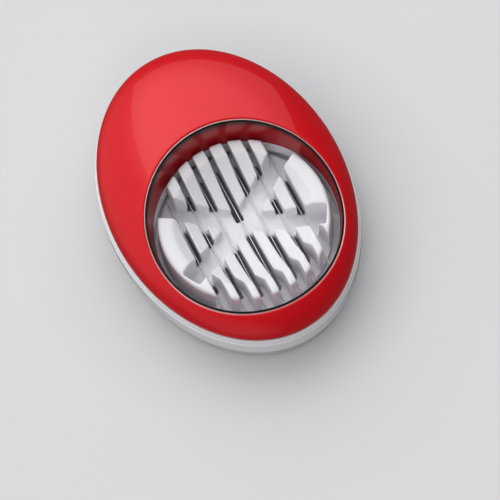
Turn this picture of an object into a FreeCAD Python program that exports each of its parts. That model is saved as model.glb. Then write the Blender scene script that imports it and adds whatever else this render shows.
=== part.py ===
import FreeCAD, Part
import math
import os

# Egg slicer: an oval base with a slotted egg tray, and a hinged cover that carries seven wires.
# Frame: origin at the centre of the footprint on the table, +Z up, X along the hinge,
# -Y towards the user. All sizes are in millimetres.

V = FreeCAD.Vector
UP = V(0, 0, 1)

# Domed cover, an oval in plan; its fullness sets how square the dome's shoulder is
COVER_WIDTH = 97.0
COVER_LENGTH = 131.8
COVER_RISE = 21.8
COVER_WALL = 2.0
COVER_FULLNESS = 0.84
RIM_HEIGHT = 21.5
DOME_STEPS = 12
DOME_CROWDING = 1.4

# Round window in the cover and the tapered collar below it
SIDE_SHOULDER = 11.6
FRONT_SHOULDER = 10.1
WINDOW_ROUND = 1.5
COLLAR_LIFT = 5.4
COLLAR_WALL = 1.9
COLLAR_DRAFT = 8.5

# Base: a rim band, a wall that stands out below it and a recessed skirt
BASE_WALL = 2.2
BAND_HEIGHT = 2.8
BAND_LEDGE = 0.7
WALL_LEDGE = 0.5
SKIRT_DROP = 3.5
SKIRT_RECESS = 2.2
DECK_THICKNESS = 2.2
RIM_ROUND = 0.5
LEDGE_ROUND = 0.4
WALL_ROUND = 1.0
LID_GAP = 0.4

# Egg tray: a floor disc with bars and two lobes round a deep bowl
TRAY_SIDE_GAP = 2.6
TRAY_REAR_GAP = 0.7
TRAY_RISE = 10.5
BOWL_BORDER = 5.9
BOWL_COVER = 1.4
FLOOR_THICKNESS = 2.3
FLOOR_BORDER = 0.6
OUTER_ROUND = 1.6
CREST_ROUND = 3.0

# Slots and the two channels that cross behind the tray's centre
SLOT_WIDTH = 3.5
SLOT_DRAFT = 2.7
SLOT_FLARE = 1.6
SLOT_FLARE_LENGTH = 9.0
SLOT_END = 5.5
CHANNEL_WIDTH = 7.2
CHANNEL_DRAFT = 2.5
CHANNEL_ANGLE = 30.0
CHANNEL_SHIFT = 3.6
CHANNEL_LEDGE = 1.2
CROSSING_GAP = 1.0

# Wires and what holds them
WIRE_COUNT = 7
WIRE_PITCH = 7.6
WIRE_DIAMETER = 0.5
WIRE_DROP = 2.0
WIRE_FLOOR_GAP = 1.5
WIRE_SEAT_GAP = 0.02
PLATE_DROP = 0.1
PLATE_THICKNESS = 2.2
RING_WALL = 2.2
CLAMP_THICKNESS = 1.7
CLAMP_WIDTH = 4.6
CLAMP_SPAN = 84.0

# Hinge
PIN_DIAMETER = 2.5
PIN_RUNNING_GAP = 0.05
PIN_SEAT_GAP = 0.02
KNUCKLE_WALL = 1.6
LUG_WIDTH = 14.0
KNUCKLE_WIDTH = 5.0
HINGE_INSET = 2.4
HINGE_DROP = 5.0
HINGE_GAP = 0.4
SWING_GAP = 0.6
NOTCH_RISE = 2.5
NOTCH_LEAD = 1.0

# Screws
SCREW_DIAMETER = 2.2
SCREW_HEAD_DIAMETER = 4.2
SCREW_HEAD_HEIGHT = 1.3
SCREW_HEAD_ROUND = 0.6
SCREW_SEAT_GAP = 0.02
SCREW_HOLE_GAP = 0.2
SCREW_GRIP = 4.3
SCREW_END_GAP = 0.3
BOSS_DIAMETER = 4.8
TRAY_SCREW_SPACING = 16.4
REAR_SCREW_SPACING = 44.0
REAR_SCREW_SETBACK = 19.8
CLAMP_SCREW_PITCHES = 1.5

# Feet
FOOT_DIAMETER = 8.0
FOOT_STANDOFF = 1.0
FOOT_SEAT = 0.8
FOOT_ROUND = 0.4
FOOT_INSET = 5.0
FOOT_TURN = 43.0
POST_WALL = 1.2

# General fits
PART_GAP = 0.5
CUT_MARGIN = 1.0

# Levels above the table
rim_top = RIM_HEIGHT - LID_GAP
band_bottom = rim_top - BAND_HEIGHT
wire_z = RIM_HEIGHT - WIRE_DROP
wire_seat = wire_z + WIRE_DIAMETER / 2
clamp_bottom = wire_seat - CLAMP_THICKNESS
plate_bottom = RIM_HEIGHT - PLATE_DROP
plate_top = plate_bottom + PLATE_THICKNESS
floor_z = wire_z - WIRE_FLOOR_GAP
deck_top = floor_z - FLOOR_THICKNESS
deck_bottom = deck_top - DECK_THICKNESS
skirt_bottom = FOOT_STANDOFF
skirt_top = deck_bottom - SKIRT_DROP
tray_top = RIM_HEIGHT + TRAY_RISE
bowl_bottom = wire_seat + BOWL_COVER
collar_bottom = RIM_HEIGHT + COLLAR_LIFT
cover_top = RIM_HEIGHT + COVER_RISE

# Half sizes of the oval outlines
cover_half = (COVER_WIDTH / 2, COVER_LENGTH / 2)
band_half = tuple(half + BAND_LEDGE for half in cover_half)
wall_half = tuple(half + WALL_LEDGE for half in band_half)
skirt_half = tuple(half - SKIRT_RECESS for half in wall_half)
plate_half = tuple(half - COVER_WALL - PART_GAP for half in cover_half)

# Window, and the tray that stands inside it
window_radius = cover_half[0] - SIDE_SHOULDER
window_y = FRONT_SHOULDER + window_radius - cover_half[1]
tray_radius = window_radius - TRAY_SIDE_GAP
tray_y = window_y + window_radius - TRAY_REAR_GAP - tray_radius
crossing_y = tray_y + CHANNEL_SHIFT

# Hinge axis, just inside the rear end of the cover and below its lower edge
hinge_y = cover_half[1] - HINGE_INSET
hinge_z = RIM_HEIGHT - HINGE_DROP
knuckle_radius = PIN_DIAMETER / 2 + KNUCKLE_WALL
knuckle_front = hinge_y - knuckle_radius
lug_half = LUG_WIDTH / 2
knuckle_end = lug_half + HINGE_GAP + KNUCKLE_WIDTH

# Places across the tray
wire_places = [WIRE_PITCH * (i - (WIRE_COUNT - 1) / 2) for i in range(WIRE_COUNT)]
lobe_edge = wire_places[-1] + SLOT_WIDTH / 2


def grow(half, amount):
    """Half sizes of an oval made larger all round."""
    return (half[0] + amount, half[1] + amount)


def half_width(half, y):
    """Half width of an oval at one place along its length."""
    return half[0] * math.sqrt(1 - (y / half[1]) ** 2)


def oval(half, bottom, top):
    """Upright prism on an oval outline that is longer in Y than in X."""
    outline = Part.Ellipse(V(0, half[1], bottom), V(half[0], 0, bottom), V(0, 0, bottom))
    face = Part.Face(Part.Wire(outline.toShape()))
    return face.extrude(V(0, 0, top - bottom))


def rod(radius, x, y, bottom, top):
    """Upright cylinder."""
    return Part.makeCylinder(radius, top - bottom, V(x, y, bottom), UP)


def tube(outer, inner, y, bottom, top):
    """Upright hollow cylinder on the centre line."""
    return rod(outer, 0, y, bottom, top).cut(rod(inner, 0, y, bottom, top))


def hinge_rod(radius, half_length):
    """Cylinder about the hinge axis."""
    return Part.makeCylinder(radius, 2 * half_length, V(-half_length, hinge_y, hinge_z), V(1, 0, 0))


def block(low, high):
    """Box between two corners."""
    return Part.makeBox(high[0] - low[0], high[1] - low[1], high[2] - low[2], V(*low))


def prism(corners, path):
    """Polygon extruded along a path."""
    return Part.Face(Part.makePolygon(corners + corners[:1])).extrude(path)


def fuse(shapes):
    """One solid from touching solids, with seams between flush faces removed."""
    return shapes[0].multiFuse(shapes[1:]).removeSplitter()


def edges_at(shape, level):
    """Edges that lie flat at one level."""
    tolerance = 0.01
    return [
        edge
        for edge in shape.Edges
        if abs(edge.BoundBox.ZMin - level) < tolerance and abs(edge.BoundBox.ZMax - level) < tolerance
    ]


def dome(half, rise):
    """Solid under an oval dome that leaves its lower edge upright."""
    turns = [math.pi / 2 * (i / DOME_STEPS) ** DOME_CROWDING for i in range(DOME_STEPS + 1)]
    points = [V(0, half[0] * math.cos(t), rise * math.sin(t) ** COVER_FULLNESS) for t in turns]
    points[-1] = V(0, 0, rise)
    crown = Part.BSplineCurve()
    crown.interpolate(Points=points, InitialTangent=UP, FinalTangent=V(0, -1, 0))
    axis = Part.LineSegment(points[-1], V(0, 0, 0))
    bottom = Part.LineSegment(V(0, 0, 0), points[0])
    section = Part.Face(Part.Wire([crown.toShape(), axis.toShape(), bottom.toShape()]))
    stretch = FreeCAD.Matrix()
    stretch.scale(1, half[1] / half[0], 1)
    solid = section.revolve(V(0, 0, 0), UP, 360).transformGeometry(stretch)
    solid.translate(V(0, 0, RIM_HEIGHT))
    return solid


def collar_cone(growth):
    """Tapered plug of the window from the collar's lower edge to above the dome."""
    height = cover_top - collar_bottom + CUT_MARGIN
    radius = window_radius + growth
    spread = height * math.tan(math.radians(COLLAR_DRAFT))
    return Part.makeCone(radius, radius + spread, height, V(0, window_y, collar_bottom), UP)


def cover_screw_places():
    """Two screws beside the window and two behind it."""
    side = (window_radius + RING_WALL + half_width(plate_half, window_y)) / 2
    rear_x = REAR_SCREW_SPACING / 2
    rear_y = window_y + window_radius + REAR_SCREW_SETBACK
    return [(-side, window_y), (side, window_y), (-rear_x, rear_y), (rear_x, rear_y)]


def clamp_screw_places(side):
    """Two screws through one wire clamp, each midway between two wires."""
    radius = window_radius + PART_GAP + CLAMP_WIDTH / 2
    x = WIRE_PITCH * CLAMP_SCREW_PITCHES
    y = window_y + side * math.sqrt(radius ** 2 - x ** 2)
    return [(-x, y), (x, y)]


def tray_screw_places():
    """Two screws under each lobe of the tray."""
    x = (lobe_edge + tray_radius) / 2
    y = TRAY_SCREW_SPACING / 2
    return [(side * x, crossing_y + end * y) for side in (-1, 1) for end in (-1, 1)]


def foot_places():
    """Four feet just inside the skirt, named by their corner."""
    turn = math.radians(FOOT_TURN)
    x = (skirt_half[0] - FOOT_INSET) * math.cos(turn)
    y = (skirt_half[1] - FOOT_INSET) * math.sin(turn)
    return {"front_left": (-x, -y), "front_right": (x, -y), "rear_left": (-x, y), "rear_right": (x, y)}


def screw(x, y, seat, length):
    """Pan-head screw that goes up from its seat."""
    head = rod(SCREW_HEAD_DIAMETER / 2, x, y, seat - SCREW_HEAD_HEIGHT, seat)
    head = head.makeFillet(SCREW_HEAD_ROUND, edges_at(head, seat - SCREW_HEAD_HEIGHT))
    return head.fuse(rod(SCREW_DIAMETER / 2, x, y, seat, seat + length)).removeSplitter()


def screw_holes(places, gap, bottom, top):
    """Round holes for the shanks of a group of screws."""
    return [rod(SCREW_DIAMETER / 2 + gap, x, y, bottom, top) for x, y in places]


def is_window_lip(edge):
    """Whether an edge is where the collar meets the dome's outside."""
    ring = [V(v.X, v.Y - window_y, 0).Length for v in edge.Vertexes]
    sloping = edge.BoundBox.ZMax - edge.BoundBox.ZMin > PART_GAP
    high = edge.BoundBox.ZMin > collar_bottom + PART_GAP
    return sloping and high and min(ring) > window_radius


def top_cover():
    """Domed cover with its window, collar and screw bosses."""
    solid = dome(cover_half, COVER_RISE).cut(collar_cone(0))
    solid = solid.makeFillet(WINDOW_ROUND, [edge for edge in solid.Edges if is_window_lip(edge)])
    places = cover_screw_places()
    bosses = [rod(BOSS_DIAMETER / 2, x, y, plate_top, cover_top) for x, y in places]
    hollow = dome(grow(cover_half, -COVER_WALL), COVER_RISE - COVER_WALL)
    solid = solid.cut(hollow.cut([collar_cone(COLLAR_WALL)] + bosses))
    depth = plate_top + SCREW_GRIP + SCREW_END_GAP
    return solid.cut(screw_holes(places, SCREW_SEAT_GAP, plate_top - CUT_MARGIN, depth))


def base_shell():
    """Oval base: rim band, wall, skirt, deck, foot posts and hinge knuckles."""
    upper = oval(band_half, deck_bottom, rim_top)
    upper = upper.makeFillet(RIM_ROUND, edges_at(upper, rim_top))
    middle = oval(wall_half, skirt_top, band_bottom)
    middle = middle.makeFillet(LEDGE_ROUND, edges_at(middle, band_bottom))
    middle = middle.makeFillet(WALL_ROUND, edges_at(middle, skirt_top))
    lower = oval(skirt_half, skirt_bottom, deck_bottom)
    body = fuse([upper, middle, lower])
    body = body.cut(oval(grow(skirt_half, -BASE_WALL), 0, skirt_top + BASE_WALL))
    body = body.cut(oval(grow(wall_half, -BASE_WALL), skirt_top + BASE_WALL, deck_bottom))
    body = body.cut(oval(grow(band_half, -BASE_WALL), deck_top, RIM_HEIGHT))
    places = foot_places().values()
    posts = [rod(FOOT_DIAMETER / 2 + POST_WALL, x, y, skirt_bottom, deck_top) for x, y in places]
    inside = oval(skirt_half, skirt_bottom, deck_top)
    body = fuse([body] + Part.makeCompound(posts).common(inside).Solids)
    seat_radius = FOOT_DIAMETER / 2 + PIN_SEAT_GAP
    body = body.cut([rod(seat_radius, x, y, 0, skirt_bottom + FOOT_SEAT) for x, y in places])
    low = deck_bottom - CUT_MARGIN
    high = deck_top + CUT_MARGIN
    holes = screw_holes(tray_screw_places(), SCREW_HOLE_GAP, low, high)
    return with_knuckles(body.cut([tray_opening(low, high)] + holes))


def tray_opening(bottom, top):
    """Hole in the deck below the slots, closed off under the lobes."""
    reach = tray_radius - SLOT_WIDTH
    width = lobe_edge + SLOT_WIDTH / 2
    strip = block((-width, tray_y - reach, bottom), (width, tray_y + reach, top))
    return rod(reach, 0, tray_y, bottom, top).common(strip)


def with_knuckles(body):
    """Base body with a gap for the cover's lug at its rear end and a knuckle on each side of it."""
    depth = hinge_z - knuckle_radius - SWING_GAP
    behind = wall_half[1] + CUT_MARGIN
    gap_half = lug_half + HINGE_GAP
    body = body.cut(block((-gap_half, knuckle_front - SWING_GAP, depth), (gap_half, behind, RIM_HEIGHT)))
    notch_half = knuckle_end + CUT_MARGIN
    notch_y = hinge_y - NOTCH_LEAD
    body = body.cut(block((-notch_half, notch_y, hinge_z + NOTCH_RISE), (notch_half, behind, RIM_HEIGHT)))
    barrel = Part.makeCylinder(knuckle_radius, KNUCKLE_WIDTH, V(gap_half, hinge_y, hinge_z), V(1, 0, 0))
    support = block((gap_half, knuckle_front, depth), (knuckle_end, behind, hinge_z))
    knuckle = barrel.fuse(support).common(oval(wall_half, 0, RIM_HEIGHT))
    body = fuse([body, knuckle, knuckle.mirror(V(0, 0, 0), V(1, 0, 0))])
    return body.cut(hinge_rod(PIN_DIAMETER / 2 + PIN_SEAT_GAP, wall_half[0]))


def channel(width, turn, bottom):
    """Straight channel through the crossing, turned from the X axis, with drafted walls."""
    reach = 2 * tray_radius
    top = tray_top + CUT_MARGIN
    half = width / 2
    spread = half + (top - bottom) * math.tan(math.radians(CHANNEL_DRAFT))
    section = [(-half, bottom), (half, bottom), (spread, top), (-spread, top)]
    cut = prism([V(-reach / 2, y, z) for y, z in section], V(reach, 0, 0))
    cut.rotate(V(0, 0, 0), UP, turn)
    cut.translate(V(0, crossing_y, 0))
    return cut


def channels(width, bottom):
    """Both channels, one turned each way."""
    return [channel(width, turn, bottom) for turn in (CHANNEL_ANGLE, -CHANNEL_ANGLE)]


def slot(x):
    """Slot between two bars for one wire, narrower towards its top and wider on one side at its front end."""
    half = SLOT_WIDTH / 2
    front = tray_y - tray_radius - CUT_MARGIN
    length = 2 * (tray_radius + CUT_MARGIN)
    top = tray_top + CUT_MARGIN
    narrow = half - (top - floor_z) * math.tan(math.radians(SLOT_DRAFT))
    section = [(-half, floor_z), (half, floor_z), (narrow, top), (-narrow, top)]
    drafted = prism([V(x + px, front, z) for px, z in section], V(0, length, 0))
    start = tray_y - math.sqrt(tray_radius ** 2 - x ** 2) + SLOT_FLARE_LENGTH - SLOT_FLARE
    flare = half + SLOT_FLARE
    outline = [(0, front), (flare, front), (flare, start), (0, start + 2 * flare)]
    corners = [V(x + px, py, floor_z) for px, py in outline]
    return drafted.fuse(prism(corners, V(0, 0, top - floor_z)))


def rear_corner(side):
    """Space beside the outermost rear bar, where the floor is bare."""
    slope = math.tan(math.radians(CHANNEL_ANGLE))
    inner = lobe_edge - SLOT_WIDTH
    outer = tray_radius + CUT_MARGIN
    outline = [(inner, inner * slope), (outer, outer * slope), (outer, outer), (inner, outer)]
    corners = [V(side * x, crossing_y + y, floor_z) for x, y in outline]
    return prism(corners, V(0, 0, tray_top + CUT_MARGIN - floor_z))


def tray_bars():
    """Bars and lobes that stand on the tray's floor, hollowed by a round bowl."""
    body = rod(tray_radius, 0, tray_y, floor_z, tray_top)
    body = body.makeFillet(OUTER_ROUND, edges_at(body, tray_top))
    mouth = tray_radius - BOWL_BORDER
    depth = tray_top - bowl_bottom
    bowl_radius = (mouth ** 2 + depth ** 2) / (2 * depth)
    bowl = Part.makeSphere(bowl_radius, V(0, tray_y, bowl_bottom + bowl_radius))
    body = body.cut(bowl)
    crest = [edge for edge in edges_at(body, tray_top) if abs(edge.Curve.Radius - mouth) < PART_GAP]
    body = body.makeFillet(CREST_ROUND, crest)
    corners = [rear_corner(side) for side in (-1, 1)]
    return body.cut(channels(CHANNEL_WIDTH, floor_z) + [slot(x) for x in wire_places] + corners)


def egg_tray():
    """Round tray: slotted bars and two lobes on a floor that is open below the slots."""
    floor = rod(tray_radius + FLOOR_BORDER, 0, tray_y, deck_top, floor_z)
    tray = fuse([floor] + tray_bars().Solids)
    low = deck_top - CUT_MARGIN
    high = floor_z + CUT_MARGIN
    ledges = channels(CHANNEL_WIDTH + 2 * CHANNEL_LEDGE, low)
    inside = rod(tray_radius - SLOT_END, 0, tray_y, low, high)
    half = SLOT_WIDTH / 2
    for x in wire_places:
        opening = block((x - half, tray_y - tray_radius, low), (x + half, tray_y + tray_radius, high))
        tray = tray.cut(opening.common(inside).cut(ledges))
    tray = tray.cut(block((-half, crossing_y + CROSSING_GAP, low), (half, crossing_y + CHANNEL_WIDTH, high)))
    depth = floor_z + SCREW_GRIP + SCREW_END_GAP
    return tray.cut(screw_holes(tray_screw_places(), SCREW_SEAT_GAP, low, depth))


def clamp_sector(side, bottom, top):
    """Arc beside the window, wide enough for the wires' ends."""
    inner = window_radius + PART_GAP
    outer = inner + CLAMP_WIDTH
    far = outer + CUT_MARGIN
    spread = far * math.tan(math.radians(CLAMP_SPAN / 2))
    outline = [(0, 0), (spread, side * far), (-spread, side * far)]
    sector = prism([V(x, window_y + y, bottom) for x, y in outline], V(0, 0, top - bottom))
    return tube(outer, inner, window_y, bottom, top).common(sector)


def wire_frame():
    """Plate inside the cover with a ring round the window, pads for the wires and the hinge lug."""
    plate = oval(plate_half, plate_bottom, plate_top)
    ring = rod(window_radius + RING_WALL, 0, window_y, wire_seat, collar_bottom)
    pads = [clamp_sector(side, wire_seat, plate_top) for side in (-1, 1)]
    web = block((-lug_half, knuckle_front, hinge_z), (lug_half, plate_half[1] - PART_GAP, plate_top))
    web = web.common(oval(plate_half, hinge_z, plate_top))
    frame = fuse([plate, ring] + pads + [web, hinge_rod(knuckle_radius, lug_half)])
    low = wire_seat - CUT_MARGIN
    high = plate_top + CUT_MARGIN
    opening = rod(window_radius, 0, window_y, low, collar_bottom + CUT_MARGIN)
    bore = hinge_rod(PIN_DIAMETER / 2 + PIN_RUNNING_GAP, lug_half + CUT_MARGIN)
    cover_holes = screw_holes(cover_screw_places(), SCREW_HOLE_GAP, low, high)
    clamp_places = clamp_screw_places(-1) + clamp_screw_places(1)
    clamp_holes = screw_holes(clamp_places, SCREW_SEAT_GAP, low, high)
    return frame.cut([opening, bore] + cover_holes + clamp_holes)


def slicing_wire(x):
    """One straight steel wire across the window, with its ends inside the clamps."""
    half = math.sqrt((window_radius + CLAMP_WIDTH) ** 2 - x ** 2)
    return Part.makeCylinder(WIRE_DIAMETER / 2, 2 * half, V(x, window_y - half, wire_z), V(0, 1, 0))


def wire_clamp(side):
    """Arc that holds the wires' ends against the frame, with a groove for each wire."""
    clamp = clamp_sector(side, clamp_bottom, wire_seat)
    radius = WIRE_DIAMETER / 2 + WIRE_SEAT_GAP
    reach = window_radius + PART_GAP + CLAMP_WIDTH + CUT_MARGIN
    grooves = []
    for x in wire_places:
        start = V(x, window_y, wire_z)
        grooves.append(Part.makeCylinder(radius, reach, start, V(0, side, 0)))
        span = sorted((window_y, window_y + side * reach))
        grooves.append(block((x - radius, span[0], wire_z), (x + radius, span[1], wire_seat)))
    low = clamp_bottom - CUT_MARGIN
    holes = screw_holes(clamp_screw_places(side), SCREW_HOLE_GAP, low, wire_seat + CUT_MARGIN)
    return clamp.cut(grooves + holes)


def hinge_pin():
    """Steel pin through the two knuckles and the lug."""
    return hinge_rod(PIN_DIAMETER / 2, knuckle_end)


def foot(x, y):
    """Rubber foot seated in the bottom of a post."""
    disc = rod(FOOT_DIAMETER / 2, x, y, 0, skirt_bottom + FOOT_SEAT)
    return disc.makeFillet(FOOT_ROUND, edges_at(disc, 0))


def screw_group(places, seat, length):
    """Identical screws that share one node."""
    return Part.makeCompound([screw(x, y, seat, length) for x, y in places])


def build():
    """All nodes of the slicer by name."""
    nodes = {
        "base_shell": base_shell(),
        "egg_tray": egg_tray(),
        "hinge_pin": hinge_pin(),
        "top_cover": top_cover(),
        "wire_frame": wire_frame(),
        "front_wire_clamp": wire_clamp(-1),
        "rear_wire_clamp": wire_clamp(1),
    }
    for number, x in enumerate(wire_places, start=1):
        nodes[f"slicing_wire_{number}"] = slicing_wire(x)
    for corner, (x, y) in foot_places().items():
        nodes[f"foot_{corner}"] = foot(x, y)
    tray_length = DECK_THICKNESS + FLOOR_THICKNESS + SCREW_GRIP
    cover_length = PLATE_THICKNESS + SCREW_GRIP
    clamp_length = plate_top - clamp_bottom - SCREW_END_GAP
    clamp_places = clamp_screw_places(-1) + clamp_screw_places(1)
    nodes["tray_screws"] = screw_group(tray_screw_places(), deck_bottom, tray_length)
    nodes["cover_screws"] = screw_group(cover_screw_places(), plate_bottom, cover_length)
    nodes["wire_clamp_screws"] = screw_group(clamp_places, clamp_bottom, clamp_length)
    return nodes


os.makedirs("parts", exist_ok=True)
for name, shape in build().items():
    shape.exportStep(f"parts/{name}.step")
    print(name, len(shape.Solids), "solids", round(shape.Volume, 1), "mm3, valid", shape.isValid())
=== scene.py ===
"""Looks of an oval egg slicer with a hinged cover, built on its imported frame."""
import logging
import math
from dataclasses import dataclass
from enum import Enum

import bmesh
import bpy
from mathutils import Matrix, Vector


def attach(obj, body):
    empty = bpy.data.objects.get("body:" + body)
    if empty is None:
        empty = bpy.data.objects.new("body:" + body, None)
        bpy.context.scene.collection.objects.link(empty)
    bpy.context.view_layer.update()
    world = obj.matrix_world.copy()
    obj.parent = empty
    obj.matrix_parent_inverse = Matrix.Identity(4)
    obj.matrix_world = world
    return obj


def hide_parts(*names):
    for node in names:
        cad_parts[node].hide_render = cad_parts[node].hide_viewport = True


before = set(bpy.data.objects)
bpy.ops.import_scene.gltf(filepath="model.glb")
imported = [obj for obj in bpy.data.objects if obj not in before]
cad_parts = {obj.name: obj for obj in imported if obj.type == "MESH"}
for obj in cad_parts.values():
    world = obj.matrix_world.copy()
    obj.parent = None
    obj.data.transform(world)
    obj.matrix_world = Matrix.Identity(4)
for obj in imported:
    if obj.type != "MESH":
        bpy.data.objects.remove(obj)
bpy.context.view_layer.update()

LOG = logging.getLogger("egg_slicer")
IMAGE_SIZE = 500.0

# Lengths in metres, and the bend in degrees above which an edge stays sharp
MM = 0.001
MERGE_GAP = 0.002 * MM
SHARP_ANGLE = 32.0
TINY = 1e-9

# Point values that dress the cover: its black bead with painted shade on its collar and lower edge,
# its bright edge and its polish
BEAD_AND_PAINTED_SHADE = "bead_and_painted_shade"
EDGE_SHINE = "edge_shine"
POLISH = "polish"

# Pieces that come in sets
WIRE_COUNT = 7
FOOT_CORNERS = ("front_left", "front_right", "rear_left", "rear_right")


class Body(Enum):
    """Bodies that pieces ride on."""

    BASE = "base"
    LID = "lid"


class Slot(Enum):
    """Material slots of the record."""

    RED = "red_plastic"
    WHITE = "white_plastic"
    STEEL = "steel"
    RUBBER = "rubber"


@dataclass(frozen=True)
class Finish:
    """Values of one surface.

    Tone is how far the colour drifts to the tint, in clouds of a given scale. Grain is the height of
    the fine relief in metres. A finish with a colour for its bead and painted shade takes from the
    mesh's own point values its black bead, its painted shade on the collar and along the dome's lower
    edge, its bright edge and its coat.
    """

    name: str
    slot: Slot
    colour: tuple[float, float, float]
    tint: tuple[float, float, float]
    tone: float
    cloud_scale: float
    roughness: float
    roughness_spread: float
    grain: float
    grain_scale: float
    stretch: tuple[float, float, float] = (1.0, 1.0, 1.0)
    metallic: float = 0.0
    coat: float = 0.0
    coat_roughness: float = 0.05
    coat_ior: float = 1.5
    specular: float = 0.5
    bead_and_painted_shade_colour: tuple[float, float, float] | None = None
    shine_colour: tuple[float, float, float] = (0.9, 0.88, 0.88)


RED_GLOSS = Finish(
    name="pearl_red_gloss",
    slot=Slot.RED,
    colour=(0.66, 0.004, 0.01),
    tint=(0.57, 0.002, 0.007),
    tone=0.35,
    cloud_scale=160.0,
    roughness=0.32,
    roughness_spread=0.05,
    grain=0.000004,
    grain_scale=900.0,
    metallic=0.15,
    coat_ior=2.0,
    specular=0.1,
    # Black of the bead, and of the painted shade on the collar and along the lower edge
    bead_and_painted_shade_colour=(0.006, 0.001, 0.001),
)
WHITE_GLOSS = Finish(
    name="white_gloss",
    slot=Slot.WHITE,
    colour=(0.83, 0.825, 0.855),
    tint=(0.79, 0.785, 0.83),
    tone=0.4,
    cloud_scale=45.0,
    roughness=0.22,
    roughness_spread=0.06,
    grain=0.000006,
    grain_scale=700.0,
    coat=0.3,
    coat_roughness=0.08,
)
WHITE_SATIN = Finish(
    name="white_satin",
    slot=Slot.WHITE,
    colour=(0.79, 0.785, 0.82),
    tint=(0.74, 0.735, 0.775),
    tone=0.4,
    cloud_scale=60.0,
    roughness=0.38,
    roughness_spread=0.07,
    grain=0.00001,
    grain_scale=800.0,
)
BRIGHT_STEEL = Finish(
    name="bright_drawn_steel",
    slot=Slot.STEEL,
    colour=(0.66, 0.66, 0.68),
    tint=(0.5, 0.5, 0.53),
    tone=0.5,
    cloud_scale=500.0,
    roughness=0.2,
    roughness_spread=0.1,
    grain=0.000004,
    grain_scale=3000.0,
    stretch=(1.0, 0.04, 1.0),
    metallic=1.0,
)
BLACK_RUBBER = Finish(
    name="black_rubber",
    slot=Slot.RUBBER,
    colour=(0.028, 0.028, 0.03),
    tint=(0.05, 0.048, 0.046),
    tone=0.6,
    cloud_scale=220.0,
    roughness=0.75,
    roughness_spread=0.12,
    grain=0.00003,
    grain_scale=1400.0,
)


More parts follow.
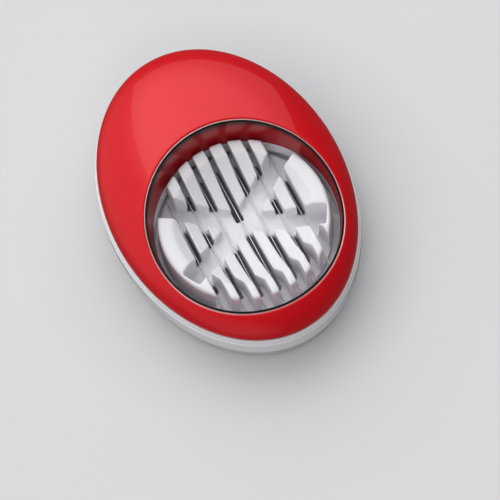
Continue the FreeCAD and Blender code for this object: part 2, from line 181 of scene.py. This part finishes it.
class FinishLibrary:
    """Makes each finish's material once, from one shared group of surface nodes."""

    GROUP = "moulded_surface"
    CLOUD_DETAIL = 4.0
    GRAIN_DETAIL = 2.0

    def __init__(self) -> None:
        """Builds the shared group."""
        self._made: dict[str, bpy.types.Material] = {}
        self._group = self._surface_group()

    def _surface_group(self) -> bpy.types.NodeTree:
        """Builds the group that gives a surface its clouds of tone, uneven gloss and fine grain.

        Returns:
            The shader node group.
        """
        group = bpy.data.node_groups.new(self.GROUP, "ShaderNodeTree")
        sockets = group.interface
        for name, kind in (
            ("Colour", "NodeSocketColor"),
            ("Tint", "NodeSocketColor"),
            ("Tone", "NodeSocketFloat"),
            ("Cloud Scale", "NodeSocketFloat"),
            ("Roughness", "NodeSocketFloat"),
            ("Roughness Spread", "NodeSocketFloat"),
            ("Grain Scale", "NodeSocketFloat"),
            ("Stretch", "NodeSocketVector"),
        ):
            sockets.new_socket(name, in_out="INPUT", socket_type=kind)
        for name, kind in (
            ("Colour", "NodeSocketColor"),
            ("Roughness", "NodeSocketFloat"),
            ("Height", "NodeSocketFloat"),
        ):
            sockets.new_socket(name, in_out="OUTPUT", socket_type=kind)
        nodes, links = group.nodes, group.links
        given = nodes.new("NodeGroupInput")
        result = nodes.new("NodeGroupOutput")
        place = nodes.new("ShaderNodeTexCoord")
        scaled = nodes.new("ShaderNodeVectorMath")
        scaled.operation = "MULTIPLY"
        links.new(place.outputs["Object"], scaled.inputs[0])
        links.new(given.outputs["Stretch"], scaled.inputs[1])
        clouds = self._noise(group, scaled, given.outputs["Cloud Scale"], self.CLOUD_DETAIL)
        grain = self._noise(group, scaled, given.outputs["Grain Scale"], self.GRAIN_DETAIL)
        amount = nodes.new("ShaderNodeMath")
        amount.operation = "MULTIPLY"
        links.new(clouds.outputs["Fac"], amount.inputs[0])
        links.new(given.outputs["Tone"], amount.inputs[1])
        mix = nodes.new("ShaderNodeMix")
        mix.data_type = "RGBA"
        links.new(amount.outputs[0], mix.inputs["Factor"])
        links.new(given.outputs["Colour"], mix.inputs["A"])
        links.new(given.outputs["Tint"], mix.inputs["B"])
        uneven = nodes.new("ShaderNodeMath")
        uneven.operation = "MULTIPLY_ADD"
        links.new(clouds.outputs["Fac"], uneven.inputs[0])
        links.new(given.outputs["Roughness Spread"], uneven.inputs[1])
        links.new(given.outputs["Roughness"], uneven.inputs[2])
        links.new(mix.outputs["Result"], result.inputs["Colour"])
        links.new(uneven.outputs[0], result.inputs["Roughness"])
        links.new(grain.outputs["Fac"], result.inputs["Height"])
        return group

    @staticmethod
    def _noise(
        group: bpy.types.NodeTree,
        place: bpy.types.Node,
        scale: bpy.types.NodeSocket,
        detail: float,
    ) -> bpy.types.Node:
        """Adds one noise texture to the group.

        Args:
            group: Node group that gets the texture.
            place: Node whose first output gives the place on the surface.
            scale: Socket that gives the noise its scale.
            detail: Octaves of the noise.

        Returns:
            The texture node.
        """
        noise = group.nodes.new("ShaderNodeTexNoise")
        noise.inputs["Detail"].default_value = detail
        group.links.new(place.outputs[0], noise.inputs["Vector"])
        group.links.new(scale, noise.inputs["Scale"])
        return noise

    def material(self, finish: Finish) -> bpy.types.Material:
        """Gives a finish's material, making it the first time.

        Args:
            finish: Finish to make.

        Returns:
            The material.
        """
        if finish.name in self._made:
            return self._made[finish.name]
        material = bpy.data.materials.new(finish.name)
        material.use_nodes = True
        nodes, links = material.node_tree.nodes, material.node_tree.links
        shader = nodes["Principled BSDF"]
        for name, value in (
            ("Metallic", finish.metallic),
            ("Coat Weight", finish.coat),
            ("Coat Roughness", finish.coat_roughness),
            ("Coat IOR", finish.coat_ior),
            ("Specular IOR Level", finish.specular),
        ):
            shader.inputs[name].default_value = value
        surface = nodes.new("ShaderNodeGroup")
        surface.node_tree = self._group
        for name, value in (
            ("Colour", (*finish.colour, 1.0)),
            ("Tint", (*finish.tint, 1.0)),
            ("Tone", finish.tone),
            ("Cloud Scale", finish.cloud_scale),
            ("Roughness", finish.roughness),
            ("Roughness Spread", finish.roughness_spread),
            ("Grain Scale", finish.grain_scale),
            ("Stretch", finish.stretch),
        ):
            surface.inputs[name].default_value = value
        bump = nodes.new("ShaderNodeBump")
        bump.inputs["Distance"].default_value = finish.grain
        colour = surface.outputs["Colour"]
        if finish.bead_and_painted_shade_colour is not None:
            # Black bead, and painted shade on the collar and along the dome's lower edge, mixed over
            # the red
            colour = self._masked(material, colour, BEAD_AND_PAINTED_SHADE, finish.bead_and_painted_shade_colour)
            colour = self._masked(material, colour, EDGE_SHINE, finish.shine_colour)
            self._edged(material, finish)
        links.new(colour, shader.inputs["Base Color"])
        links.new(surface.outputs["Roughness"], shader.inputs["Roughness"])
        links.new(surface.outputs["Height"], bump.inputs["Height"])
        links.new(bump.outputs["Normal"], shader.inputs["Normal"])
        self._made[finish.name] = material
        return material

    @staticmethod
    def _edged(material: bpy.types.Material, finish: Finish) -> None:
        """Makes the bright edge metallic and takes the coat from the mesh's polish.

        Args:
            material: Material that gets the nodes.
            finish: Finish of the material.
        """
        nodes, links = material.node_tree.nodes, material.node_tree.links
        shader = nodes["Principled BSDF"]
        shine = nodes.new("ShaderNodeAttribute")
        shine.attribute_name = EDGE_SHINE
        metal = nodes.new("ShaderNodeMath")
        metal.operation = "MAXIMUM"
        metal.inputs[1].default_value = finish.metallic
        links.new(shine.outputs["Fac"], metal.inputs[0])
        links.new(metal.outputs[0], shader.inputs["Metallic"])
        polish = nodes.new("ShaderNodeAttribute")
        polish.attribute_name = POLISH
        links.new(polish.outputs["Fac"], shader.inputs["Coat Weight"])

    @staticmethod
    def _masked(
        material: bpy.types.Material,
        colour: bpy.types.NodeSocket,
        mask: str,
        over: tuple[float, float, float],
    ) -> bpy.types.NodeSocket:
        """Lays one more colour over a surface where a point attribute says so.

        Args:
            material: Material that gets the nodes.
            colour: Socket that gives the colour below.
            mask: Name of the attribute.
            over: Colour where the attribute is 1.

        Returns:
            The socket that gives the mixed colour.
        """
        nodes, links = material.node_tree.nodes, material.node_tree.links
        where = nodes.new("ShaderNodeAttribute")
        where.attribute_name = mask
        mix = nodes.new("ShaderNodeMix")
        mix.data_type = "RGBA"
        mix.inputs["B"].default_value = (*over, 1.0)
        links.new(where.outputs["Fac"], mix.inputs["Factor"])
        links.new(colour, mix.inputs["A"])
        return mix.outputs["Result"]


def finish_piece(
    name: str,
    mesh: bmesh.types.BMesh,
    body: Body,
    material: bpy.types.Material,
    nodes: list[str],
    sharp_angle: float = SHARP_ANGLE,
) -> bpy.types.Object:
    """Turns a mesh under construction into a finished piece that stands for CAD nodes.

    Args:
        name: Name of the piece.
        mesh: Mesh under construction, freed here.
        body: Body the piece rides on.
        material: Material of the piece.
        nodes: CAD nodes the piece stands for.
        sharp_angle: Edges that bend by more degrees than this stay sharp.

    Returns:
        The new object.
    """
    data = bpy.data.meshes.new(name)
    for face in mesh.faces:
        face.smooth = True
    mesh.to_mesh(data)
    mesh.free()
    data.set_sharp_from_angle(angle=math.radians(sharp_angle))
    data.materials.append(material)
    piece = bpy.data.objects.new(name, data)
    bpy.context.scene.collection.objects.link(piece)
    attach(piece, body.value)
    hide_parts(*nodes)
    LOG.info("%s: %d faces", name, len(data.polygons))
    return piece


def put_in_order(mesh: bmesh.types.BMesh) -> None:
    """Sorts vertices and faces by their place, so that each run writes the same mesh.

    Args:
        mesh: Mesh to sort.
    """
    places = (
        (mesh.verts, lambda vert: vert.co.to_tuple()),
        (mesh.faces, lambda face: face.calc_center_median().to_tuple()),
    )
    for items, place in places:
        ranks = {item: rank for rank, item in enumerate(sorted(items, key=place))}
        items.sort(key=ranks.get)


def merged_node(node: str) -> bmesh.types.BMesh:
    """Copies a CAD node's mesh and joins its loose triangles.

    Args:
        node: Name of the CAD node.

    Returns:
        The mesh under construction.
    """
    mesh = bmesh.new()
    mesh.from_mesh(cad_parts[node].data)
    bmesh.ops.remove_doubles(mesh, verts=mesh.verts, dist=MERGE_GAP)
    return mesh


@dataclass
class Cover:
    """Domed cover with a round window and a tapered collar, as one smooth shell.

    Sizes are in millimetres. The shell is a ring of sections round the window's centre, each with the
    same number of rows. The painted shades of the collar and the lower edge, and the polishes, go from
    0 to 1.
    """

    library: FinishLibrary
    half_width: float = 48.5
    half_length: float = 65.9
    rise: float = 21.8
    fullness: float = 0.42
    edge_z: float = 21.5
    wall: float = 2.0
    window_radius: float = 36.9
    window_y: float = -18.9
    collar_z: float = 26.9
    collar_wall: float = 1.9
    collar_draft: float = 8.5
    bead_half: float = 0.5
    bead_drop: float = 0.14
    groove: float = 0.55
    groove_run: float = 1.0
    edge_round: float = 0.3
    columns: int = 216
    collar_steps: int = 4
    bead_steps: int = 12
    groove_steps: int = 3
    dome_steps: int = 36
    inner_steps: int = 16
    samples: int = 240
    lip_rounds: int = 30
    sharp_angle: float = 50.0
    shine_from: int = 10
    # Painted shade that darkens the collar's inner wall, where the window is in shade
    collar_painted_shade: float = 0.45
    edge_rows: int = 3
    # Painted shade line along the dome's lower edge, where the cover meets the base
    edge_painted_shade: float = 0.3
    edge_polish: float = 0.1
    dome_polish: float = 0.19
    lip_polish: float = 0.2
    collar_polish: float = 0.45

    def _height(self, turn: float, radius: float, inset: float = 0.0) -> float:
        """Height of the dome above the table at one place.

        Args:
            turn: Direction from the window's centre, in radians from the X axis.
            radius: Distance from the window's centre.
            inset: Distance of the surface inside the cover's own.

        Returns:
            The height.
        """
        x, y = radius * math.cos(turn), self.window_y + radius * math.sin(turn)
        span = (x / (self.half_width - inset)) ** 2 + (y / (self.half_length - inset)) ** 2
        return self.edge_z + (self.rise - inset) * max(0.0, 1.0 - span) ** self.fullness

    def _on_dome(self, turn: float, radius: float, sunk: float) -> Vector:
        """Point at a depth below the dome's surface, as radius and height."""
        return Vector((radius, self._height(turn, radius) - sunk))

    def _reach(self, turn: float, inset: float) -> float:
        """Distance from the window's centre to the oval edge in one direction.

        Args:
            turn: Direction from the window's centre, in radians from the X axis.
            inset: Distance of the edge inside the cover's own.

        Returns:
            The distance.
        """
        a, b = self.half_width - inset, self.half_length - inset
        x, y = math.cos(turn) / a, math.sin(turn) / b
        offset = self.window_y / b
        square, half, rest = x * x + y * y, y * offset, offset * offset - 1.0
        return (-half + math.sqrt(half * half - square * rest)) / square

    def _dome_line(self, turn: float, start: float, inset: float, steps: int) -> list[Vector]:
        """Points evenly spaced down the dome to its edge in one direction.

        Args:
            turn: Direction from the window's centre, in radians from the X axis.
            start: Distance of the first point from the window's centre.
            inset: Distance of the surface inside the cover's own.
            steps: Number of spaces between the points.

        Returns:
            The points as radius and height.
        """
        end = self._reach(turn, inset)
        line = []
        for i in range(self.samples + 1):
            # Samples crowd towards the edge, where the dome is steep
            share = math.sin(math.pi / 2 * math.sin(math.pi / 2 * i / self.samples))
            radius = start + (end - start) * share
            line.append(Vector((radius, self._height(turn, radius, inset))))
        line[-1] = Vector((end, self.edge_z))
        lengths = [0.0]
        for before, after in zip(line, line[1:]):
            lengths.append(lengths[-1] + (after - before).length)
        points, at = [], 0
        for i in range(steps + 1):
            wanted = lengths[-1] * i / steps
            while at < len(line) - 2 and lengths[at + 1] < wanted:
                at += 1
            share = (wanted - lengths[at]) / max(lengths[at + 1] - lengths[at], TINY)
            points.append(line[at].lerp(line[at + 1], min(1.0, share)))
        return points

    def _lip(self, turn: float, growth: float, inset: float) -> Vector:
        """Where the collar's cone meets the dome in one direction.

        Args:
            turn: Direction from the window's centre, in radians from the X axis.
            growth: How much wider the cone is than the window's own.
            inset: Distance of the dome inside the cover's own.

        Returns:
            The point as radius and height.
        """
        slope = math.tan(math.radians(self.collar_draft))
        height = self.collar_z
        for _ in range(self.lip_rounds):
            radius = self.window_radius + growth + (height - self.collar_z) * slope
            height = (height + self._height(turn, radius, inset)) / 2
        return Vector((radius, height))

    def _section(self, turn: float) -> list[Vector]:
        """Closed outline of the shell in one direction.

        Args:
            turn: Direction from the window's centre, in radians from the X axis.

        Returns:
            Points as radius and height, the same number in every direction.
        """
        foot = Vector((self.window_radius, self.collar_z))
        lip = self._lip(turn, 0.0, 0.0)
        top = lip - Vector((0.0, self.bead_drop + self.groove))
        outline = [foot.lerp(top, i / self.collar_steps) for i in range(self.collar_steps)]
        for i in range(self.bead_steps + 1):
            around = math.pi * (1.0 - i / self.bead_steps)
            radius = lip.x + self.bead_half * (1.0 + math.cos(around))
            sunk = self.bead_drop + self.groove * (1.0 - math.sin(around))
            outline.append(self._on_dome(turn, radius, sunk))
        start = lip.x + 2 * self.bead_half
        for i in range(1, self.groove_steps + 1):
            share = i / self.groove_steps
            sunk = (self.bead_drop + self.groove) * (1.0 - share) ** 2
            outline.append(self._on_dome(turn, start + self.groove_run * share, sunk))
        dome = self._dome_line(turn, start + self.groove_run, 0.0, self.dome_steps)
        edge = dome[-1]
        outline += dome[1:-1]
        outline += [edge + Vector((0.0, self.edge_round)), edge - Vector((self.edge_round, 0.0))]
        hidden_lip = self._lip(turn, self.collar_wall, self.wall)
        inside = self._dome_line(turn, hidden_lip.x, self.wall, self.inner_steps)
        outline += reversed(inside)
        outline += [foot + Vector((self.collar_wall, 0.0)), foot + Vector((self.edge_round, 0.0))]
        return outline

    def _dress(self, row: int) -> tuple[float, float, float]:
        """Darkening, bright shine and polish of one ring of the outline; the darkening is the bead's
        black and painted shade on the collar and the lower edge.

        Args:
            row: Number of the ring, from the collar's foot over the bead and down the dome.

        Returns:
            The three values, from 0 to 1.
        """
        bead_end = self.collar_steps + self.bead_steps
        edge = bead_end + self.groove_steps + self.dome_steps
        # The collar's wall gets painted shade
        if row < self.collar_steps:
            return self.collar_painted_shade, 0.0, self.collar_polish
        if row < self.collar_steps + self.shine_from:
            return 1.0, 0.0, self.lip_polish
        if row <= bead_end:
            return 0.0, 1.0, self.lip_polish
        # The last rows above the lower edge get a painted shade line
        if edge - self.edge_rows <= row <= edge:
            return self.edge_painted_shade, 0.0, self.edge_polish
        return 0.0, 0.0, self.dome_polish

    def build(self) -> bpy.types.Object:
        """Spins a closed column of points and sets each ring on the shell's outline.

        Returns:
            The cover's piece.
        """
        sections = [self._section(math.tau * i / self.columns) for i in range(self.columns)]
        count = len(sections[0])
        mesh = bmesh.new()
        column = [mesh.verts.new((1.0, 0.0, float(i))) for i in range(count)]
        chain = [mesh.edges.new(pair) for pair in zip(column, column[1:] + column[:1])]
        bmesh.ops.spin(
            mesh,
            geom=column + chain,
            cent=(0.0, 0.0, 0.0),
            axis=(0.0, 0.0, 1.0),
            angle=math.tau,
            steps=self.columns,
            use_merge=True,
        )
        layers = [mesh.verts.layers.float.new(name) for name in (BEAD_AND_PAINTED_SHADE, EDGE_SHINE, POLISH)]
        for vert in mesh.verts:
            turn = math.atan2(vert.co.y, vert.co.x) % math.tau
            index = round(turn / math.tau * self.columns) % self.columns
            row = round(vert.co.z)
            point = sections[index][row]
            for layer, value in zip(layers, self._dress(row)):
                vert[layer] = value
            angle = math.tau * index / self.columns
            vert.co = MM * Vector(
                (point.x * math.cos(angle), self.window_y + point.x * math.sin(angle), point.y)
            )
        bmesh.ops.recalc_face_normals(mesh, faces=mesh.faces)
        put_in_order(mesh)
        material = self.library.material(RED_GLOSS)
        return finish_piece(
            "cover_shell", mesh, Body.LID, material, ["top_cover"], self.sharp_angle
        )


@dataclass
class MouldedPart:
    """Moulded or turned piece whose shape is the CAD node's, with smooth shading.

    A piece with a soft grain, in millimetres, has its edges rounded at about that size.
    """

    library: FinishLibrary
    node: str
    name: str
    body: Body
    finish: Finish
    sharp_angle: float = SHARP_ANGLE
    soft_grain: float = 0.0
    soft_rounds: int = 3
    soft_factor: float = 0.5

    def _softened(self, mesh: bmesh.types.BMesh) -> bmesh.types.BMesh:
        """Rounds the edges of a moulded shape by remeshing it finely and smoothing it.

        Args:
            mesh: Mesh to soften, freed here.

        Returns:
            The softened mesh.
        """
        data = bpy.data.meshes.new("softened")
        mesh.to_mesh(data)
        mesh.free()
        sample = bpy.data.objects.new("softened", data)
        bpy.context.scene.collection.objects.link(sample)
        remesh = sample.modifiers.new("remesh", "REMESH")
        remesh.mode = "VOXEL"
        remesh.voxel_size = self.soft_grain * MM
        fine = sample.evaluated_get(bpy.context.evaluated_depsgraph_get()).to_mesh()
        soft = bmesh.new()
        soft.from_mesh(fine)
        bpy.data.objects.remove(sample)
        bpy.data.meshes.remove(data)
        for _ in range(self.soft_rounds):
            bmesh.ops.smooth_vert(
                soft,
                verts=soft.verts,
                factor=self.soft_factor,
                use_axis_x=True,
                use_axis_y=True,
                use_axis_z=True,
            )
        return soft

    def build(self) -> bpy.types.Object:
        """Copies the node's shape and dresses it.

        Returns:
            The part's piece.
        """
        mesh = merged_node(self.node)
        if self.soft_grain:
            mesh = self._softened(mesh)
        material = self.library.material(self.finish)
        piece = finish_piece(
            self.name, mesh, self.body, material, [self.node], self.sharp_angle
        )
        if not self.soft_grain:
            flats = piece.modifiers.new("flat_faces", "WEIGHTED_NORMAL")
            flats.keep_sharp = True
        return piece


def solid_boxes(node: str) -> list[tuple[Vector, Vector]]:
    """Finds the lowest and highest corner of each separate solid of a CAD node, in millimetres.

    Args:
        node: Name of the CAD node.

    Returns:
        One pair of corners for each solid.
    """
    mesh = merged_node(node)
    left = set(mesh.verts)
    boxes = []
    while left:
        waiting = [left.pop()]
        places = []
        while waiting:
            vert = waiting.pop()
            places.append(vert.co / MM)
            near = {edge.other_vert(vert) for edge in vert.link_edges} & left
            left -= near
            waiting += near
        low = Vector([min(place[i] for place in places) for i in range(3)])
        high = Vector([max(place[i] for place in places) for i in range(3)])
        boxes.append((low, high))
    mesh.free()
    return sorted(boxes, key=lambda box: tuple(box[0]))


@dataclass
class ScrewSet:
    """Group of pan-head screws with cross recesses in their heads. Sizes in millimetres."""

    library: FinishLibrary
    name: str
    node: str
    body: Body
    head_radius: float = 2.1
    head_height: float = 1.3
    head_round: float = 0.6
    shank_radius: float = 1.1
    recess_reach: float = 1.25
    recess_half: float = 0.28
    recess_depth: float = 0.8
    recess_taper: float = 0.55
    segments: int = 32
    round_steps: int = 4

    def _recessed_face(
        self, mesh: bmesh.types.BMesh
    ) -> tuple[list[bmesh.types.BMEdge], list[bmesh.types.BMVert]]:
        """Adds the flat end of a head, with its cross recess, at the origin.

        Args:
            mesh: Mesh that gets the face.

        Returns:
            The edges of the face's round rim, and all its vertices.
        """
        radius = self.head_radius - self.head_round
        ring = bmesh.ops.create_circle(mesh, segments=self.segments, radius=radius)
        rim = list(dict.fromkeys(edge for vert in ring["verts"] for edge in vert.link_edges))
        a, b = self.recess_half, self.recess_reach
        corners = [(b, -a), (b, a), (a, a), (a, b), (-a, b), (-a, a)]
        corners += [(-px, -py) for px, py in corners]
        cross = [mesh.verts.new((px, py, 0.0)) for px, py in corners]
        edges = [mesh.edges.new(pair) for pair in zip(cross, cross[1:] + cross[:1])]
        bmesh.ops.triangle_fill(mesh, edges=rim + edges, use_beauty=True)
        pit = bmesh.ops.extrude_edge_only(mesh, edges=edges)["geom"]
        bottom = [item for item in pit if isinstance(item, bmesh.types.BMVert)]
        taper = self.recess_taper
        for vert in bottom:
            vert.co = Vector((vert.co.x * taper, vert.co.y * taper, self.recess_depth))
        pit_edges = [item for item in pit if isinstance(item, bmesh.types.BMEdge)]
        bmesh.ops.contextual_create(mesh, geom=pit_edges)
        return rim, ring["verts"] + cross + bottom

    def _profile(self, length: float) -> list[tuple[float, float]]:
        """Lists the rings of a screw above the flat end of its head.

        Args:
            length: Length of the whole screw.

        Returns:
            Radius and height of each ring.
        """
        turns = [math.pi / 2 * i / self.round_steps for i in range(1, self.round_steps + 1)]
        rings = [
            (
                self.head_radius - self.head_round * (1 - math.sin(t)),
                self.head_round * (1 - math.cos(t)),
            )
            for t in turns
        ]
        rings += [(self.head_radius, self.head_height), (self.shank_radius, self.head_height)]
        return rings + [(self.shank_radius, length)]

    def _add_screw(self, mesh: bmesh.types.BMesh, low: Vector, high: Vector) -> None:
        """Adds one screw, its head down.

        Args:
            mesh: Mesh that gets the screw.
            low: Lowest corner of the screw's box.
            high: Highest corner of the screw's box.
        """
        centre = Vector(((low.x + high.x) / 2, (low.y + high.y) / 2, low.z))
        rim, made = self._recessed_face(mesh)
        before = self.head_radius - self.head_round
        for radius, height in self._profile(high.z - low.z):
            grown = bmesh.ops.extrude_edge_only(mesh, edges=rim)["geom"]
            rim = [item for item in grown if isinstance(item, bmesh.types.BMEdge)]
            verts = [item for item in grown if isinstance(item, bmesh.types.BMVert)]
            for vert in verts:
                vert.co = Vector((vert.co.x * radius / before, vert.co.y * radius / before, height))
            made += verts
            before = radius
        bmesh.ops.contextual_create(mesh, geom=rim)
        for vert in made:
            vert.co = MM * (vert.co + centre)

    def build(self) -> bpy.types.Object:
        """Makes all the screws of the group as one piece.

        Returns:
            The group's piece.
        """
        mesh = bmesh.new()
        for low, high in solid_boxes(self.node):
            self._add_screw(mesh, low, high)
        bmesh.ops.recalc_face_normals(mesh, faces=mesh.faces)
        put_in_order(mesh)
        material = self.library.material(BRIGHT_STEEL)
        return finish_piece(self.name, mesh, self.body, material, [self.node])


@dataclass(frozen=True)
class Lamp:
    """Softbox that faces the slicer: its centre and size in metres, its power in watts.

    Glossy surfaces show only a lamp that is mirrored.
    """

    name: str
    place: tuple[float, float, float]
    size: tuple[float, float]
    power: float
    mirrored: bool = True


LAMPS = (
    Lamp("top_light", (-0.1, -0.15, 1.2), (2.2, 2.2), 6.9, mirrored=False),
    Lamp("rear_softbox", (0.33, 0.9, 0.95), (1.75, 1.9), 10.3),
    Lamp("front_fill", (-0.45, -0.9, 0.8), (0.8, 0.8), 2.8, mirrored=False),
)


@dataclass(frozen=True)
class Glow:
    """Soft patch of light in the sky: where it is, and the cosines at which it starts and is full."""

    side: tuple[float, float, float]
    start: float
    full: float
    strength: float


GLOWS = (
    Glow((0.12, 0.64, 0.76), 0.8, 0.99, 1.0),
    Glow((-0.75, 0.5, 0.43), 0.35, 0.95, 0.75),
    Glow((-0.68, -0.73, -0.1), 0.75, 0.98, 0.45),
)


@dataclass
class Stage:
    """Floor, light and camera round the slicer. Sizes in metres."""

    lamps: tuple[Lamp, ...] = LAMPS
    floor_half: float = 6.0
    floor_colour: tuple[float, float, float] = (0.6, 0.6, 0.61)
    floor_roughness: float = 0.9
    # Painted glow that brightens the floor for the camera, fading to none near the slicer as painted
    # shade
    floor_glow: float = 0.08
    glow_start: float = 0.05
    glow_end: float = 0.09
    glows: tuple[Glow, ...] = GLOWS
    world_strength: float = 0.1
    target: tuple[float, float, float] = (0.0, 0.0, 0.0215)
    azimuth: float = -17.6
    elevation: float = 66.83
    roll: float = 9.58
    distance: float = 0.984
    lens: float = 177.1
    aim_pixel: tuple[float, float] = (226.3, 192.9)

    def build(self) -> None:
        """Builds the floor, the world, the lamps and the camera."""
        self._floor()
        self._world()
        for lamp in self.lamps:
            self._hang(lamp)
        self._camera()

    def _floor(self) -> None:
        """Lays a pale floor that glossy surfaces don't mirror, with a painted glow that brightens it
        away from the slicer.
        """
        mesh = bmesh.new()
        bmesh.ops.create_grid(mesh, x_segments=1, y_segments=1, size=self.floor_half)
        data = bpy.data.meshes.new("floor")
        mesh.to_mesh(data)
        mesh.free()
        material = bpy.data.materials.new("pale_floor")
        material.use_nodes = True
        nodes, links = material.node_tree.nodes, material.node_tree.links
        shader = nodes["Principled BSDF"]
        shader.inputs["Base Color"].default_value = (*self.floor_colour, 1.0)
        shader.inputs["Roughness"].default_value = self.floor_roughness
        shader.inputs["Emission Color"].default_value = (1.0, 1.0, 1.0, 1.0)
        # Camera rays see painted light on the floor, none under and round the slicer, which paints
        # shade there
        path = nodes.new("ShaderNodeLightPath")
        glow = nodes.new("ShaderNodeMath")
        glow.operation = "MULTIPLY"
        links.new(path.outputs["Is Camera Ray"], glow.inputs[0])
        links.new(self._painted_floor_glow(nodes, links), glow.inputs[1])
        links.new(glow.outputs[0], shader.inputs["Emission Strength"])
        data.materials.append(material)
        floor = bpy.data.objects.new("floor", data)
        floor.visible_glossy = False
        bpy.context.scene.collection.objects.link(floor)

    def _painted_floor_glow(self, nodes: bpy.types.Nodes, links: bpy.types.NodeLinks) -> bpy.types.NodeSocket:
        """Adds nodes that give the floor its painted glow away from the slicer, and none beneath and
        round it, which leaves painted shade there.

        Args:
            nodes: Nodes of the floor's material.
            links: Links of the floor's material.

        Returns:
            The socket that gives the glow.
        """
        place = nodes.new("ShaderNodeTexCoord")
        away = nodes.new("ShaderNodeVectorMath")
        away.operation = "LENGTH"
        links.new(place.outputs["Object"], away.inputs[0])
        fade = nodes.new("ShaderNodeMapRange")
        fade.inputs["From Min"].default_value = self.glow_start
        fade.inputs["From Max"].default_value = self.glow_end
        fade.inputs["To Max"].default_value = self.floor_glow
        links.new(away.outputs["Value"], fade.inputs["Value"])
        return fade.outputs["Result"]

    def _world(self) -> None:
        """Fills the scene with dim even light and the soft patches."""
        world = bpy.data.worlds.new("studio")
        world.use_nodes = True
        nodes, links = world.node_tree.nodes, world.node_tree.links
        background = nodes["Background"]
        background.inputs["Color"].default_value = (1.0, 1.0, 1.0, 1.0)
        place = nodes.new("ShaderNodeTexCoord")
        total = None
        for glow in self.glows:
            facing = nodes.new("ShaderNodeVectorMath")
            facing.operation = "DOT_PRODUCT"
            facing.inputs[1].default_value = glow.side
            links.new(place.outputs["Generated"], facing.inputs[0])
            fade = nodes.new("ShaderNodeMapRange")
            fade.interpolation_type = "SMOOTHSTEP"
            fade.inputs["From Min"].default_value = glow.start
            fade.inputs["From Max"].default_value = glow.full
            fade.inputs["To Max"].default_value = glow.strength
            links.new(facing.outputs["Value"], fade.inputs["Value"])
            added = nodes.new("ShaderNodeMath")
            added.inputs[1].default_value = self.world_strength
            links.new(fade.outputs["Result"], added.inputs[0])
            if total is not None:
                links.new(total, added.inputs[1])
            total = added.outputs[0]
        links.new(total, background.inputs["Strength"])
        bpy.context.scene.world = world

    def _hang(self, lamp: Lamp) -> None:
        """Hangs one softbox that faces the slicer.

        Args:
            lamp: Softbox to hang.
        """
        light = bpy.data.lights.new(lamp.name, "AREA")
        light.shape = "RECTANGLE"
        light.size, light.size_y = lamp.size
        light.energy = lamp.power
        hung = bpy.data.objects.new(lamp.name, light)
        hung.location = lamp.place
        facing = Vector(lamp.place) - Vector(self.target)
        hung.rotation_euler = facing.to_track_quat("Z", "Y").to_euler()
        hung.visible_glossy = lamp.mirrored
        bpy.context.scene.collection.objects.link(hung)

    def _camera(self) -> None:
        """Sets the camera at the viewing angle, with its slight roll."""
        azimuth, elevation, roll = (math.radians(a) for a in (self.azimuth, self.elevation, self.roll))
        back = Vector(
            (
                math.sin(azimuth) * math.cos(elevation),
                -math.cos(azimuth) * math.cos(elevation),
                math.sin(elevation),
            )
        )
        right = Vector((math.cos(azimuth), math.sin(azimuth), 0.0))
        up = back.cross(right)
        across = math.cos(roll) * right - math.sin(roll) * up
        upward = math.sin(roll) * right + math.cos(roll) * up
        data = bpy.data.cameras.new("camera")
        data.lens = self.lens
        data.shift_x = (IMAGE_SIZE / 2 - self.aim_pixel[0]) / IMAGE_SIZE
        data.shift_y = (self.aim_pixel[1] - IMAGE_SIZE / 2) / IMAGE_SIZE
        camera = bpy.data.objects.new("camera", data)
        turned = Matrix((across, upward, back)).transposed().to_4x4()
        camera.matrix_world = Matrix.Translation(Vector(self.target) + self.distance * back) @ turned
        bpy.context.scene.collection.objects.link(camera)
        bpy.context.scene.camera = camera


def main() -> None:
    """Builds the slicer's pieces, then the stage."""
    logging.basicConfig(level=logging.INFO)
    bpy.context.scene.view_settings.view_transform = "Standard"
    library = FinishLibrary()
    parts: list[Cover | MouldedPart | ScrewSet] = [
        Cover(library),
        MouldedPart(library, "base_shell", "base_housing", Body.BASE, WHITE_GLOSS, sharp_angle=60.0),
        MouldedPart(
            library,
            "egg_tray",
            "slotted_tray",
            Body.BASE,
            WHITE_SATIN,
            sharp_angle=80.0,
            soft_grain=0.48,
        ),
        MouldedPart(library, "wire_frame", "wire_carrier", Body.LID, WHITE_SATIN),
        MouldedPart(library, "front_wire_clamp", "front_clamp_bar", Body.LID, WHITE_SATIN),
        MouldedPart(library, "rear_wire_clamp", "rear_clamp_bar", Body.LID, WHITE_SATIN),
        MouldedPart(library, "hinge_pin", "hinge_pin_rod", Body.BASE, BRIGHT_STEEL),
    ]
    for number in range(1, WIRE_COUNT + 1):
        node, name = f"slicing_wire_{number}", f"cutting_wire_{number}"
        parts.append(MouldedPart(library, node, name, Body.LID, BRIGHT_STEEL))
    for corner in FOOT_CORNERS:
        node, name = f"foot_{corner}", f"rubber_foot_{corner}"
        parts.append(MouldedPart(library, node, name, Body.BASE, BLACK_RUBBER))
    parts += [
        ScrewSet(library, "tray_fixing_screws", "tray_screws", Body.BASE),
        ScrewSet(library, "cover_fixing_screws", "cover_screws", Body.LID),
        ScrewSet(library, "clamp_fixing_screws", "wire_clamp_screws", Body.LID),
    ]
    for part in parts:
        part.build()
    Stage().build()


if __name__ == "__main__":
    main()
